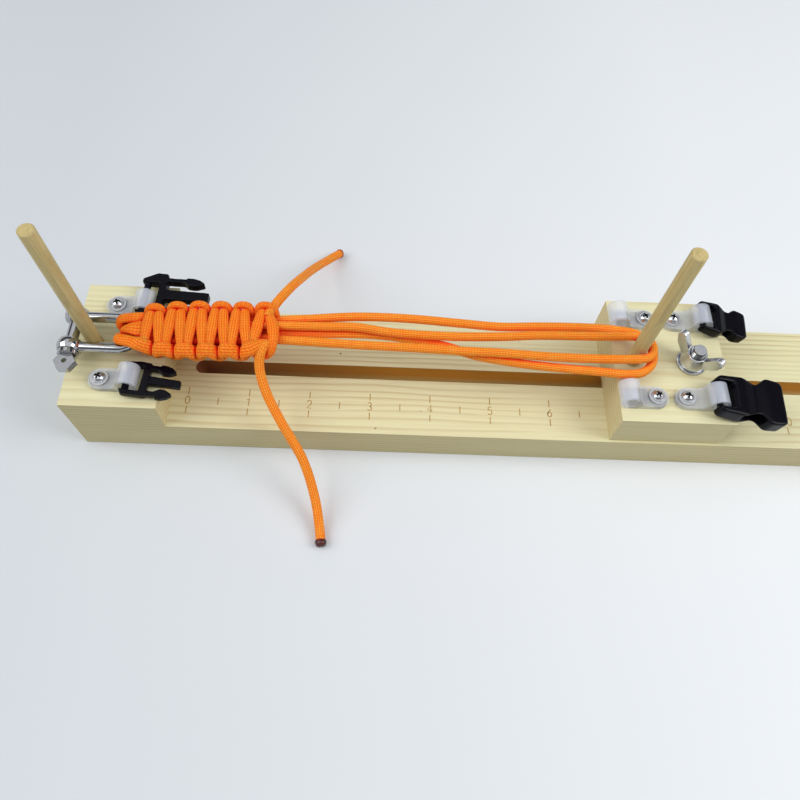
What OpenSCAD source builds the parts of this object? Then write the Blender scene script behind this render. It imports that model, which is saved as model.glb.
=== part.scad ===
// Paracord bracelet jig: a slotted pine rail with a fixed end block and a sliding block,
// each with an upright peg and loop clips for buckle halves. A shackle and a half-made
// bracelet are set up between the pegs.
// The origin is under the fixed peg, on the underside of the rail. +X runs along the rail,
// +Y is the back and +Z is up. Sizes are in millimetres.

/* [Rail] */
// Length of the rail
rail_l = 390; // [370:1:440]
// Width of the rail
rail_w = 58; // [56:1:66]
// Thickness of the rail
rail_t = 18; // [16:0.5:24]
// Length of the raised end block
end_l = 38; // [36:0.5:42]
// Height of the end block above the rail
end_h = 16; // [15:0.5:20]
// Width of the slot that guides the bolt
slot_w = 6.4; // [6.3:0.1:7]
// Wood between the end block and the slot
slot_start = 8; // [4:0.5:12]
// Wood between the slot and the free end of the rail
slot_end = 20; // [15:0.5:30]
// Width of the channel under the slot
channel_w = 15; // [14:0.5:18]
// Depth of the channel under the slot
channel_d = 5; // [4:0.25:6]

/* [Slider] */
// Length of the sliding block
slider_l = 46; // [45:0.5:50]
// Width of the sliding block
slider_w = 58; // [56:0.5:64]
// Height of the sliding block
slider_h = 18; // [16:0.5:20]
// Gap between the end block and the sliding block
slider_gap = 183.5; // [170:0.5:200]
// Sideways set of the sliding block towards the back
slider_set = 1; // [0:0.1:1.5]

/* [Pegs] */
// Diameter of the pegs
peg_d = 6; // [5.6:0.1:6.2]
// Height of a peg above its block
peg_h = 68; // [50:1:90]
// Depth of a peg in its block
peg_deep = 14; // [8:0.5:15]
// Chamfer on the top of a peg
peg_chamfer = 0.5; // [0.2:0.1:1]
// Radial clearance of a peg in its hole
peg_clear = 0.02; // [0.01:0.01:0.05]
// Fixed peg from the left end of the rail
fixed_peg_in = 9; // [8.5:0.25:10]
// Slider peg from the left face of the sliding block
slider_peg_in = 7.5; // [5:0.25:8]

/* [Loop clips] */
// Width of a clip's strap
clip_w = 9.2; // [8.6:0.1:9.4]
// Thickness of a clip's strap
clip_t = 1.1; // [0.9:0.05:1.2]
// Outer radius of a clip's loop
clip_r = 4.2; // [4.1:0.05:4.4]
// Distance from a clip's screw to the middle of its loop
clip_reach = 11.5; // [11:0.25:13]
// Radius of the hollow curve between a clip's tab and its loop
clip_curve = 2.4; // [1.5:0.1:3]
// Screws of the end block, from the fixed peg
fixed_screw_x = 5.8; // [4.5:0.1:6.5]
// Screws of the end block, each side of the middle
fixed_screw_y = 17.7; // [17.6:0.1:18]
// Left screws of the sliding block, from its left face
slider_screw_left = 14.5; // [13.5:0.25:15]
// Right screws of the sliding block, from its left face
slider_screw_right = 26.5; // [26:0.25:27.5]
// Screws of the sliding block, each side of its middle
slider_screw_y = 18.8; // [18:0.1:19.5]

/* [Screws] */
// Diameter of a screw's shank
screw_d = 3; // [2.5:0.1:3.4]
// Length of a screw under its head
screw_l = 12; // [9:0.5:14]
// Diameter of a screw's head
screw_head_d = 5.2; // [4.6:0.1:6]
// Height of a screw's head
screw_head_h = 1.9; // [1.5:0.1:2.4]
// Width of the cross recess
recess_w = 0.8; // [0.5:0.05:1]
// Length of the cross recess
recess_l = 2.9; // [2:0.1:3.4]
// Depth of the cross recess
recess_d = 1.1; // [0.6:0.1:1.3]
// Diameter of a screw's washer
screw_washer_d = 7; // [6.5:0.1:8]
// Thickness of a screw's washer
screw_washer_t = 0.7; // [0.5:0.05:1]
// Radial clearance round a screw in clip, washer and wood
screw_clear = 0.05; // [0.02:0.01:0.1]

/* [Clamp] */
// Diameter of the clamp bolt
bolt_d = 6; // [5.6:0.1:6.1]
// Bolt from the left face of the sliding block
bolt_in = 32; // [31:0.25:33]
// Diameter of the bolt's head
bolt_head_d = 13; // [11:0.5:13.5]
// Height of the bolt's head
bolt_head_h = 3.3; // [2.5:0.1:3.6]
// Width across the bolt's square neck
neck_w = 6; // [5.8:0.05:6.1]
// Height of the bolt's square neck
neck_h = 5; // [3:0.25:7]
// Height of the bolt's end above the sliding block
bolt_proud = 10.2; // [8.5:0.1:12]
// Pitch of the bolt's thread
thread_pitch = 1; // [0.8:0.05:1.25]
// Depth of the bolt's thread
thread_d = 0.5; // [0.3:0.05:0.6]
// Length of the bolt's thread
thread_l = 16; // [12:1:20]
// Radial clearance of the bolt in the sliding block
bolt_hole_clear = 0.3; // [0.1:0.05:0.5]
// Radial clearance of the wing nut on the bolt
nut_clear = 0.05; // [0.02:0.01:0.1]
// Diameter of the washer under the wing nut
washer_d = 12.4; // [11.5:0.1:13]
// Thickness of the washer under the wing nut
washer_t = 1; // [0.8:0.1:1.4]
// Diameter of the wing nut at its base
nut_base_d = 10.6; // [9.5:0.1:11.5]
// Diameter of the wing nut at its top
nut_top_d = 8; // [7.5:0.1:9]
// Height of the wing nut's hub
nut_h = 6.4; // [5.5:0.1:7.4]
// Height of the wing nut's straight foot
nut_foot = 1.2; // [0.8:0.1:1.6]
// Thickness of a wing
wing_t = 2.8; // [2.2:0.1:3]
// Radius of a wing's round tip
tip_r = 1.9; // [1.6:0.1:2.2]
// Middle of a wing's tip from the bolt's axis
tip_x = 8.9; // [8.5:0.1:9.3]
// Middle of a wing's tip above the washer
tip_z = 10; // [9.5:0.1:11]
// Turn of the wings from the rail's direction
wing_turn = -47; // [-55:1:-40]

/* [Buckles] */
// Diameter of the bar that a clip holds
bar_d = 2.8; // [2.4:0.1:3]
// Frame past the bar's middle
bar_edge = 2; // [1.9:0.1:2.3]
// Bar's middle to the far side of the strap window
window_l = 5.4; // [5.3:0.1:5.8]
// Width of the large male half
large_male_w = 20.8; // [20.4:0.1:21]
// Length of the large male half from its bar
large_male_l = 26.5; // [24:0.5:28]
// Thickness of the large male half
large_male_t = 4; // [3.4:0.1:4.2]
// Length of the large half's barbs, to the middle prong's tip
large_barb_l = 10.6; // [9.5:0.1:11]
// Width of the small male half
small_male_w = 15; // [14.9:0.1:15.2]
// Length of the small male half from its bar
small_male_l = 20.5; // [18:0.5:22]
// Thickness of the small male half
small_male_t = 3.2; // [2.8:0.1:3.4]
// Length of the small half's barbs, to the middle prong's tip
small_barb_l = 8.8; // [8:0.1:9.2]
// Width of a male half's side rails
male_rail_w = 2; // [1.8:0.1:2.1]
// Width of the large male half's broad rail at the back
far_rail_w = 5; // [4:0.1:5.2]
// Slant of the large male half's back corner at its bar
large_slant = 3.2; // [2.4:0.1:3.4]
// Slant of the small male half's back corner at its bar
small_slant = 1; // [0.6:0.1:1.2]
// Length of that slant along the buckle
slant_l = 5.6; // [5:0.1:6]
// Set of the large half's barbed arms inside its frame
large_arm_in = 2; // [1.8:0.1:2.5]
// Set of the small half's barbed arms inside its frame
small_arm_in = 0.8; // [0.7:0.1:1]
// Width of a barbed arm
arm_w = 2; // [1.6:0.1:2.2]
// Barb's tip behind the middle prong's tip
barb_back = 2.2; // [1.5:0.1:3]
// Step of a barb outside its arm
barb_out = 0.7; // [0.4:0.1:0.9]
// Swell of a barb inside its arm
barb_in = 1.4; // [1:0.1:1.6]
// Prongs thinner than their frame
prong_less = 0.6; // [0.3:0.1:0.8]
// Width of the large half's middle prong
large_tongue_w = 4.8; // [4:0.2:5.6]
// Width of the small half's middle prong
small_tongue_w = 3.6; // [3:0.2:4]
// Width of the large female half at its bar
large_female_w = 16.2; // [15.6:0.2:16.6]
// Width of the large female half's mouth
large_mouth_w = 20.8; // [19:0.2:21.4]
// Length of the large female half from its bar
large_female_l = 27; // [25:0.5:29]
// Thickness of the large female half
large_female_t = 7; // [6.6:0.1:7.1]
// Width of the small female half at its bar
small_female_w = 13.6; // [13.2:0.2:14]
// Width of the small female half's mouth
small_mouth_w = 14; // [13.4:0.2:14.6]
// Length of the small female half from its bar
small_female_l = 20; // [18:0.5:21.5]
// Thickness of the small female half
small_female_t = 5.2; // [4.8:0.1:5.4]
// Wall of a female half's socket
female_wall = 0.9; // [0.7:0.05:1]
// Wall between a female half's window and its socket
socket_wall = 2.4; // [2:0.1:3]
// Room each side of a clip in a female half's window
window_room = 1; // [0.9:0.05:1.1]

/* [Shackle] */
// Diameter of the shackle's bow
bow_d = 4.3; // [4:0.1:4.6]
// Distance between the middles of the shackle's legs
bow_w = 14.2; // [14:0.1:15]
// Pin to the start of the bend
bow_l = 18.2; // [17.5:0.1:19]
// Diameter of the ears
ear_d = 9.6; // [9:0.1:10]
// Thickness of an ear
ear_t = 4.8; // [4.4:0.1:5]
// Diameter of the shackle's pin
pin_d = 4.8; // [4.4:0.1:5]
// Radial clearance of the pin in the ears
pin_clear = 0.05; // [0.02:0.01:0.1]
// Diameter of the collar on the pin
collar_d = 7.6; // [7:0.1:8]
// Thickness of the collar
collar_t = 1.6; // [1.2:0.1:2]
// Width across the corners of the pin's flat head
head_w = 8.4; // [7.5:0.1:9]
// Thickness of the pin's flat head
head_t = 3; // [2.4:0.1:3.4]
// Hole in the pin's flat head
head_hole_d = 2; // [1.5:0.1:2.5]
// Height of the pin above the end block
shackle_z = 8; // [7.6:0.1:8.4]
// Gap between the pin and the fixed peg
shackle_gap = 0.8; // [0.4:0.1:0.9]

/* [Bracelet] */
// Diameter of the cord where it is stretched
cord_d = 3.6; // [3.2:0.1:3.6]
// Diameter of the cord where it hangs loose
slack_d = 3.9; // [3.6:0.1:3.9]
// Pitch of the knots
knot_pitch = 8.8; // [8.6:0.1:9]
// Number of knots
knots = 6; // [3:1:6]
// Half width of the knotted part at its left end
weave_w = 8.4; // [8:0.1:8.5]
// Growth of the half width to the right end
weave_grow = 2; // [1:0.1:2.2]
// Rise of the side lobes
lobe_out = 1.2; // [0.8:0.1:1.2]
// Half thickness of the knotted part
weave_t = 5.1; // [4.5:0.1:5.3]

/* [Hidden] */
$fn = 48;

pine = "#ead9a6";
bamboo = "#c9ad6c";
nylon = "#e4e6ec";
zinc = "#c3c6c9";
black = "#17171b";
orange = "#ff7d16";

e = 0.01;
rail_x = -fixed_peg_in;
block_end = rail_x + end_l;
block_top = rail_t + end_h;
slot_x0 = block_end + slot_start;
slot_x1 = rail_x + rail_l - slot_end;
channel_over = (channel_w - slot_w) / 2;

slider_x = block_end + slider_gap;
slider_top = rail_t + slider_h;
slider_peg_x = slider_x + slider_peg_in;
bolt_x = slider_x + bolt_in;
bolt_top = slider_top + bolt_proud;

fixed_spots = [for (side = [-1, 1]) [fixed_screw_x, side * fixed_screw_y]];
left_x = slider_x + slider_screw_left;
right_x = slider_x + slider_screw_right;
front_y = slider_set - slider_screw_y;
back_y = slider_set + slider_screw_y;
slider_spots = [for (x = [left_x, right_x], y = [front_y, back_y]) [x, y]];

tab_t = 2 * clip_t;
tab_r = clip_w / 2;
head_z = tab_t + screw_washer_t;
screw_hole_r = screw_d / 2 + screw_clear;

// Places of the buckles' bars: sideways from the clip's middle, above the loop's middle,
// then tilt and turn in degrees
back_male_place = [3.4, 0.9, 0, -2.5];
front_male_place = [-0.2, -0.5, 8.5, -3];
front_female_place = [-0.3, 1.2, 10, -4];
back_female_place = [-0.1, 1.2, 15, -6];

pin_x = -(peg_d + pin_d) / 2 - shackle_gap;
pin_z = block_top + shackle_z;
bend_x = pin_x + bow_l;
ear_out = (bow_w + ear_t) / 2;
bow_r = bow_d / 2;

// The bracelet's level and its ends, from the end block's top and the shackle's bow
weave_rise = 2.5;
weave_y = 0.4;
bow_gap = 0.4;
first_knot = 3;
weave_z = pin_z + weave_rise;
weave_x0 = bend_x + bow_w / 2 + bow_r + bow_gap;
knot_x0 = weave_x0 + first_knot;
weave_x1 = knot_x0 + (knots - 0.5) * knot_pitch;
cord_r = cord_d / 2;
bight_y = 4.6;
bight_turn = 28;
bight_end = [5, 7];
bight_x = bend_x + sqrt(pow(bow_w / 2, 2) - pow(bight_y, 2));
bight_r = bow_r * 1.3 + bow_gap + cord_r;

// The two loops round the slider peg: the inner one is tight and the outer one lies slack below it
peg_gap = 0.4;
loop_slack = 1.4;
loop_gap = 0.2;
inner_turn_r = peg_d / 2 + peg_gap + cord_r;
outer_turn_r = inner_turn_r + cord_d + loop_slack;
inner_turn_x = slider_peg_x;
outer_turn_x = slider_peg_x - cord_d;
inner_turn_z = weave_z + 1.5;
outer_turn_z = inner_turn_z - cord_d - loop_gap;

// Routes of the cord, from the bracelet's right end: along the rail, sideways and up
back_outer_run = [
    [-4, 7.6, -1.2], [12, 9, -0.8], [33, 10.6, 0], [53, 10.7, 0], [74, 9.6, -0.2],
    [91, 8.7, -0.4], [107, 9.8, -0.8], [123, 10.6, -1.3], [134, 10.8, -1.9]
];
back_inner_run = [
    [-4, 3.4, 2], [18, 4, 1.7], [33, 4.6, 1.3], [48, 3.1, 0.7],
    [70, 2.7, 0.3], [91, 3.5, 0.3], [107, 4.7, 0.5], [128, 5, 0.9]
];
front_inner_run = [
    [-4, -1.8, 0.3], [19, -2.4, 0.1], [34, -2.9, 0.1], [54, -3.3, 0.2],
    [72, -3.9, 0.3], [91, -4.3, 0.4], [110, -5.2, 0.5], [128, -5.6, 0.9]
];
front_outer_run = [
    [-4, 2.7, -1.9], [18, 3.1, -2], [33, 4, -2.6], [46, 4.1, -3.5], [59, 2.3, -3.7],
    [69, 0.6, -3.8], [81, -3.4, -3.7], [96, -6.1, -3.4], [111, -7.9, -3], [127, -9.2, -2.6]
];
front_tail_run = [
    [-1, -5, 2], [-2.2, -6.6, 2.8], [-3.6, -9, 1.6], [-4.3, -12.8, -2.6], [-2, -20, -8.5],
    [4, -29.6, -15.5], [13.3, -42, -26], [18.6, -55, -36.5], [20.9, -66, -41.5], [21.7, -71.4, -42.4]
];
back_tail_run = [
    [-2.5, 6, 3.4], [-2, 9, 2.8], [-1.2, 12.2, 1.4], [0.7, 17, 0.4], [4.6, 27, -3.5],
    [7.8, 39, -12], [10.2, 51, -22], [13.8, 65, -34], [20.5, 78, -42.4]
];

function unit(v) = v / norm(v);

// One corner [x, y, r] of an outline as an arc between its neighbours
function corner(a, b, c, n) =
    let (
        p = [b.x, b.y],
        u = unit([a.x, a.y] - p),
        v = unit([c.x, c.y] - p),
        half = acos(u * v) / 2,
        m = p + unit(u + v) * b.z / sin(half),
        s = p + u * b.z / tan(half) - m,
        t = p + v * b.z / tan(half) - m,
        a0 = atan2(s.y, s.x),
        turn = atan2(s.x * t.y - s.y * t.x, s * t)
    )
    b.z == 0 ? [p] : [for (i = [0 : n]) m + b.z * [cos(a0 + turn * i / n), sin(a0 + turn * i / n)]];

function rounded(pts, n = 4) =
    let (k = len(pts))
    [for (i = [0 : k - 1]) each corner(pts[(i + k - 1) % k], pts[i], pts[(i + 1) % k], n)];

// Half an outline, mirrored across the X axis
function both(half) =
    let (k = len(half))
    concat(half, [for (i = [k - 1 : -1 : 0]) [half[i].x, -half[i].y, half[i].z]]);

function placed(run) = [for (p = run) [weave_x1 + p.x, p.y, weave_z + p.z]];

// Half a turn round the slider peg, from the back to the front
function round_peg(x, r, z) = [
    for (i = [0 : 6])
        let (a = 90 - 30 * i)
        [x + r * cos(a), r * sin(a), z]
];

function backwards(p) = [for (i = [len(p) - 1 : -1 : 0]) p[i]];

// A round tube along a path. Its rings turn about the axis up, which the path never follows.
module tube(path, d, sides, up = [0, 0, 1]) {
    k = len(path);
    rings = [
        for (i = [0 : k - 1])
            let (
                t = unit(path[min(i + 1, k - 1)] - path[max(i - 1, 0)]),
                u = unit(cross(up, t)),
                v = cross(t, u)
            )
            for (j = [0 : sides - 1])
                path[i] + d / 2 * (u * cos(360 * j / sides) + v * sin(360 * j / sides))
    ];
    skin = [
        for (i = [0 : k - 2], j = [0 : sides - 1])
            let (a = i * sides + j, b = i * sides + (j + 1) % sides)
            each [[a, a + sides, b], [b, a + sides, b + sides]]
    ];
    last = (k - 1) * sides;
    caps = [
        for (j = [1 : sides - 2])
            each [[0, j, j + 1], [last, last + j + 1, last + j]]
    ];
    polyhedron(rings, concat(skin, caps));
}

module stadium(x0, x1, w, h) {
    translate([x0 + w / 2, -w / 2, 0]) cube([x1 - x0 - w, w, h]);
    for (x = [x0 + w / 2, x1 - w / 2]) translate([x, 0, 0]) cylinder(h = h, d = w);
}

module peg_hole(x, top) {
    translate([x, 0, top - peg_deep]) cylinder(h = peg_deep + e, r = peg_d / 2 + peg_clear);
}

module screw_holes(spots, top) {
    for (p = spots)
        translate([p.x, p.y, top + head_z - screw_l - screw_clear])
            cylinder(h = screw_l + e, r = screw_hole_r);
}

module base_rail() {
    color(pine)
    difference() {
        union() {
            translate([rail_x, -rail_w / 2, 0]) cube([rail_l, rail_w, rail_t]);
            translate([rail_x, -rail_w / 2, 0]) cube([end_l, rail_w, block_top]);
        }
        translate([0, 0, -e]) stadium(slot_x0, slot_x1, slot_w, rail_t + 2 * e);
        translate([0, 0, -e]) stadium(slot_x0 - channel_over, slot_x1 + channel_over, channel_w, channel_d + e);
        peg_hole(0, block_top);
        screw_holes(fixed_spots, block_top);
    }
}

module slider_block() {
    color(pine)
    difference() {
        translate([slider_x, slider_set - slider_w / 2, rail_t]) cube([slider_l, slider_w, slider_h]);
        peg_hole(slider_peg_x, slider_top);
        translate([bolt_x, 0, rail_t - e]) cylinder(h = slider_h + 2 * e, r = bolt_d / 2 + bolt_hole_clear);
        screw_holes(slider_spots, slider_top);
    }
}

module peg(x, top) {
    r = peg_d / 2;
    l = peg_h + peg_deep;
    color(bamboo)
    translate([x, 0, top - peg_deep])
    rotate_extrude()
    polygon([[0, 0], [r, 0], [r, l - peg_chamfer], [r - peg_chamfer, l], [0, l]]);
}

module fixed_peg() { peg(0, block_top); }

module slider_peg() { peg(slider_peg_x, slider_top); }

// A clip at its screw, with its loop along +X. The loop's strap runs back as two layers to the tab.
module clip() {
    in_r = clip_r - clip_t;
    curve_z = tab_t + clip_curve;
    curve_x = clip_reach - sqrt(pow(clip_r + clip_curve, 2) - pow(curve_z - clip_r, 2));
    color(nylon)
    difference() {
        intersection() {
            translate([0, clip_w / 2, 0])
            rotate([90, 0, 0])
            linear_extrude(clip_w)
            difference() {
                union() {
                    translate([-tab_r, 0]) square([tab_r + clip_reach, tab_t]);
                    translate([clip_reach, clip_r]) circle(clip_r);
                    difference() {
                        polygon([[curve_x, 0], [clip_reach, 0], [clip_reach, clip_r], [curve_x, curve_z]]);
                        translate([curve_x, curve_z]) circle(clip_curve);
                    }
                }
                translate([clip_reach, clip_r]) circle(in_r);
            }
            union() {
                cylinder(h = 2 * clip_r, r = tab_r);
                translate([0, -tab_r, 0]) cube([clip_reach + clip_r, clip_w, 2 * clip_r]);
            }
        }
        translate([0, 0, -e]) cylinder(h = tab_t + 2 * e, r = screw_hole_r);
    }
}

module fixed_back_clip() { translate([fixed_screw_x, fixed_screw_y, block_top]) clip(); }

module fixed_front_clip() { translate([fixed_screw_x, -fixed_screw_y, block_top]) clip(); }

module slider_back_left_clip() { translate([left_x, back_y, slider_top]) rotate(180) clip(); }

module slider_back_right_clip() { translate([right_x, back_y, slider_top]) clip(); }

module slider_front_left_clip() { translate([left_x, front_y, slider_top]) rotate(180) clip(); }

module slider_front_right_clip() { translate([right_x, front_y, slider_top]) clip(); }

module screw() {
    dome_r = (pow(screw_head_d / 2, 2) + pow(screw_head_h, 2)) / (2 * screw_head_h);
    tip = screw_d;
    translate([0, 0, head_z - screw_l]) {
        translate([0, 0, tip]) cylinder(h = screw_l - tip + e, d = screw_d);
        cylinder(h = tip, d1 = screw_d / 4, d2 = screw_d);
    }
    difference() {
        intersection() {
            translate([0, 0, head_z]) cylinder(h = screw_head_h, d = screw_head_d);
            translate([0, 0, head_z + screw_head_h - dome_r]) sphere(dome_r);
        }
        for (a = [0, 90])
            rotate(a)
            translate([-recess_l / 2, -recess_w / 2, head_z + screw_head_h - recess_d])
            cube([recess_l, recess_w, recess_d + e]);
    }
}

module screw_washer() {
    difference() {
        translate([0, 0, tab_t]) cylinder(h = screw_washer_t, d = screw_washer_d);
        cylinder(h = head_z + e, r = screw_hole_r);
    }
}

module fixed_clip_screws() {
    color(zinc) for (p = fixed_spots) translate([p.x, p.y, block_top]) rotate(20 * sign(p.y)) screw();
}

module slider_clip_screws() {
    color(zinc) for (p = slider_spots) translate([p.x, p.y, slider_top]) rotate(15 + 4 * p.x) screw();
}

module fixed_screw_washers() {
    color(zinc) for (p = fixed_spots) translate([p.x, p.y, block_top]) screw_washer();
}

module slider_screw_washers() {
    color(zinc) for (p = slider_spots) translate([p.x, p.y, slider_top]) screw_washer();
}

// The bolt hangs from the roof of the channel by its head, and its neck keeps it from turning.
module carriage_bolt() {
    r = bolt_d / 2;
    dome_r = (pow(bolt_head_d / 2, 2) + pow(bolt_head_h, 2)) / (2 * bolt_head_h);
    turns = floor(thread_l / thread_pitch);
    thread_z = bolt_top - turns * thread_pitch;
    color(zinc)
    translate([bolt_x, 0, 0]) {
        intersection() {
            translate([0, 0, channel_d - bolt_head_h]) cylinder(h = bolt_head_h, d = bolt_head_d);
            translate([0, 0, channel_d - bolt_head_h + dome_r]) sphere(dome_r);
        }
        translate([-neck_w / 2, -neck_w / 2, channel_d - e]) cube([neck_w, neck_w, neck_h]);
        rotate_extrude()
        polygon(concat(
            [[0, channel_d], [r, channel_d], [r, thread_z]],
            [
                for (i = [0 : turns - 1])
                    each [
                        [r - thread_d, thread_z + (i + 0.5) * thread_pitch],
                        [i == turns - 1 ? r - thread_d : r, thread_z + (i + 1) * thread_pitch]
                    ]
            ],
            [[0, bolt_top]]
        ));
    }
}

module bolt_washer() {
    color(zinc)
    translate([bolt_x, 0, slider_top])
    difference() {
        cylinder(h = washer_t, d = washer_d);
        translate([0, 0, -e]) cylinder(h = washer_t + 2 * e, r = bolt_d / 2 + bolt_hole_clear);
    }
}

// A wing: a finger that leans out from the nut's hub to a round tip
module wing() {
    root_x = nut_top_d / 2 - 0.8;
    elbow_r = 2.5;
    rotate([90, 0, 0])
    linear_extrude(wing_t, center = true) {
        translate([tip_x, tip_z]) circle(tip_r);
        polygon(rounded([
            [root_x, nut_foot, 0], [nut_base_d / 2, nut_foot + 0.4, 0],
            [tip_x + tip_r * 0.3, tip_z - tip_r * 2, elbow_r], [tip_x + tip_r * 0.98, tip_z - tip_r * 0.2, 0],
            [tip_x - tip_r * 0.9, tip_z + tip_r * 0.44, 0], [root_x, nut_h - 1.2, 0]
        ]));
    }
}

module wing_nut() {
    color(zinc)
    translate([bolt_x, 0, slider_top + washer_t])
    rotate(wing_turn)
    difference() {
        union() {
            cylinder(h = nut_foot, d = nut_base_d);
            translate([0, 0, nut_foot]) cylinder(h = nut_h - nut_foot, d1 = nut_base_d, d2 = nut_top_d);
            for (a = [0, 180]) rotate(a) wing();
        }
        translate([0, 0, -e]) cylinder(h = nut_h + tip_z, r = bolt_d / 2 + nut_clear);
    }
}

// A barbed side arm of a male half, with its outer side at y: from x0, barb from x1 to its tip at x2
module arm(x0, x1, x2, y, t) {
    inner = y - arm_w;
    swell = inner - barb_in;
    step = y + barb_out;
    third = (x2 - x1) / 3;
    linear_extrude(t, center = true)
    polygon(rounded([
        [x0 - e, inner, 0], [x1 - 0.8, inner, 1], [x1 + 1.2, swell, 1], [x1 + 1.6 * third, swell, 1.5],
        [x2, inner + 0.2, 0.6], [x1 + 2 * third, y, 1.5], [x1 + third, step, 1.5], [x1, step, 0.2],
        [x1, y, 0.2], [x0 - e, y, 0]
    ]));
}

// The male half of a side-release buckle, with its bar at the origin and its prongs along +X
module male_half(w, l, t, tongue_w, arm_in, barb_l, far_rail, slant) {
    body_end = window_l + 2.8;
    end_x = -bar_edge;
    prong_t = t - prong_less;
    color(black) {
        translate([0, w / 2 - slant, 0]) rotate([90, 0, 0]) cylinder(h = w - slant - e, d = bar_d);
        linear_extrude(t, center = true)
        difference() {
            polygon(rounded([
                [end_x, w / 2 - slant, 0.8], [end_x + slant_l, w / 2, 2], [body_end, w / 2 - 0.2, 0.8],
                [body_end, 0.2 - w / 2, 0.8], [end_x, -w / 2, 1.8]
            ]));
            translate([end_x - e, male_rail_w - w / 2])
                square([window_l - end_x + e, w - male_rail_w - far_rail]);
        }
        linear_extrude(prong_t, center = true)
        polygon(rounded(both([[body_end - e, tongue_w / 2, 0], [l, tongue_w / 2 - 0.2, 0.6]])));
        for (side = [0, 1])
            mirror([0, side, 0]) arm(body_end, l - barb_l, l - barb_back, w / 2 - arm_in, prong_t);
    }
}

// The female half of a side-release buckle, with its bar at the origin and its mouth along +X
module female_half(w, mouth_w, l, t) {
    end_x = -bar_edge;
    rail = (w - clip_w) / 2 - window_room;
    open_w = w - 2 * rail;
    block_x = l * 0.34;
    waist_x = l * 0.58;
    wing_x = l * 0.72;
    waist_w = mouth_w * 0.62;
    socket_w = mouth_w - 4 * female_wall;
    socket_h = t - 2 * female_wall;
    color(black) {
        translate([0, open_w / 2 + rail / 2, 0]) rotate([90, 0, 0]) cylinder(h = open_w + rail, d = bar_d);
        difference() {
            intersection() {
                linear_extrude(t + 2, center = true)
                polygon(rounded(both([
                    [end_x, w / 2, rail + 0.2], [block_x, w / 2 + 0.7, l * 0.16],
                    [waist_x, waist_w / 2, l * 0.11], [wing_x, mouth_w / 2, l * 0.1],
                    [l, mouth_w / 2 - 0.8, l * 0.1]
                ]), 6));
                rotate([90, 0, 0])
                linear_extrude(mouth_w + 2, center = true)
                polygon(rounded([
                    [end_x, -t / 2 + 0.6, 0.8], [block_x, -t / 2, 2], [l, -t / 2, 0.8],
                    [l, t / 2, 0.8], [wing_x, t / 2, 2], [waist_x - 1.5, t / 2 - 0.7, 2], [block_x, t / 2, 2],
                    [end_x, t / 2 - 0.4, 1]
                ]));
            }
            translate([end_x - e, -open_w / 2, -t]) cube([window_l - end_x + e, open_w, 2 * t]);
            translate([window_l + socket_wall, -socket_w / 2, -socket_h / 2]) cube([l, socket_w, socket_h]);
        }
    }
}

// Moves a buckle half to its bar's place in a clip on a block
module in_loop(x, y, top, place) {
    translate([x + clip_reach, y + place[0], top + clip_r + place[1]])
        rotate([0, 0, place[3]]) rotate([0, place[2], 0]) children();
}

module back_male_buckle() {
    in_loop(fixed_screw_x, fixed_screw_y, block_top, back_male_place)
        male_half(
            large_male_w, large_male_l, large_male_t, large_tongue_w,
            large_arm_in, large_barb_l, far_rail_w, large_slant
        );
}

module front_male_buckle() {
    in_loop(fixed_screw_x, -fixed_screw_y, block_top, front_male_place)
        male_half(
            small_male_w, small_male_l, small_male_t, small_tongue_w,
            small_arm_in, small_barb_l, male_rail_w, small_slant
        );
}

module front_female_buckle() {
    in_loop(right_x, front_y, slider_top, front_female_place)
        female_half(large_female_w, large_mouth_w, large_female_l, large_female_t);
}

module back_female_buckle() {
    in_loop(right_x, back_y, slider_top, back_female_place)
        female_half(small_female_w, small_mouth_w, small_female_l, small_female_t);
}

module shackle_bow() {
    color(zinc)
    translate([pin_x, 0, pin_z])
    difference() {
        union() {
            for (side = [-1, 1])
                translate([0, side * bow_w / 2, 0]) {
                    rotate([0, 90, 0]) cylinder(h = bow_l, d = bow_d);
                    intersection() {
                        sphere(d = ear_d);
                        cube([ear_d, ear_t, ear_d], center = true);
                    }
                }
            translate([bow_l, 0, 0])
            rotate(-90)
            rotate_extrude(angle = 180)
            translate([bow_w / 2, 0])
            circle(d = bow_d);
        }
        rotate([90, 0, 0]) cylinder(h = bow_w + 2 * ear_t, r = pin_d / 2 + pin_clear, center = true);
    }
}

// The pin, with its collar and flat head at the front
module shackle_pin() {
    neck_y = -ear_out - pin_clear - collar_t;
    head_y = neck_y - head_w / 2 * cos(30) + 0.4;
    color(zinc)
    translate([pin_x, 0, pin_z])
    difference() {
        union() {
            translate([0, ear_out + 0.8, 0]) rotate([90, 0, 0]) cylinder(h = ear_out + 0.8 - neck_y, d = pin_d);
            translate([0, neck_y + collar_t, 0]) rotate([90, 0, 0]) cylinder(h = collar_t, d = collar_d);
            translate([0, head_y, -head_t / 2]) cylinder(h = head_t, d = head_w, $fn = 6);
        }
        translate([0, head_y, -head_t]) cylinder(h = 2 * head_t, d = head_hole_d);
    }
}

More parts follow.
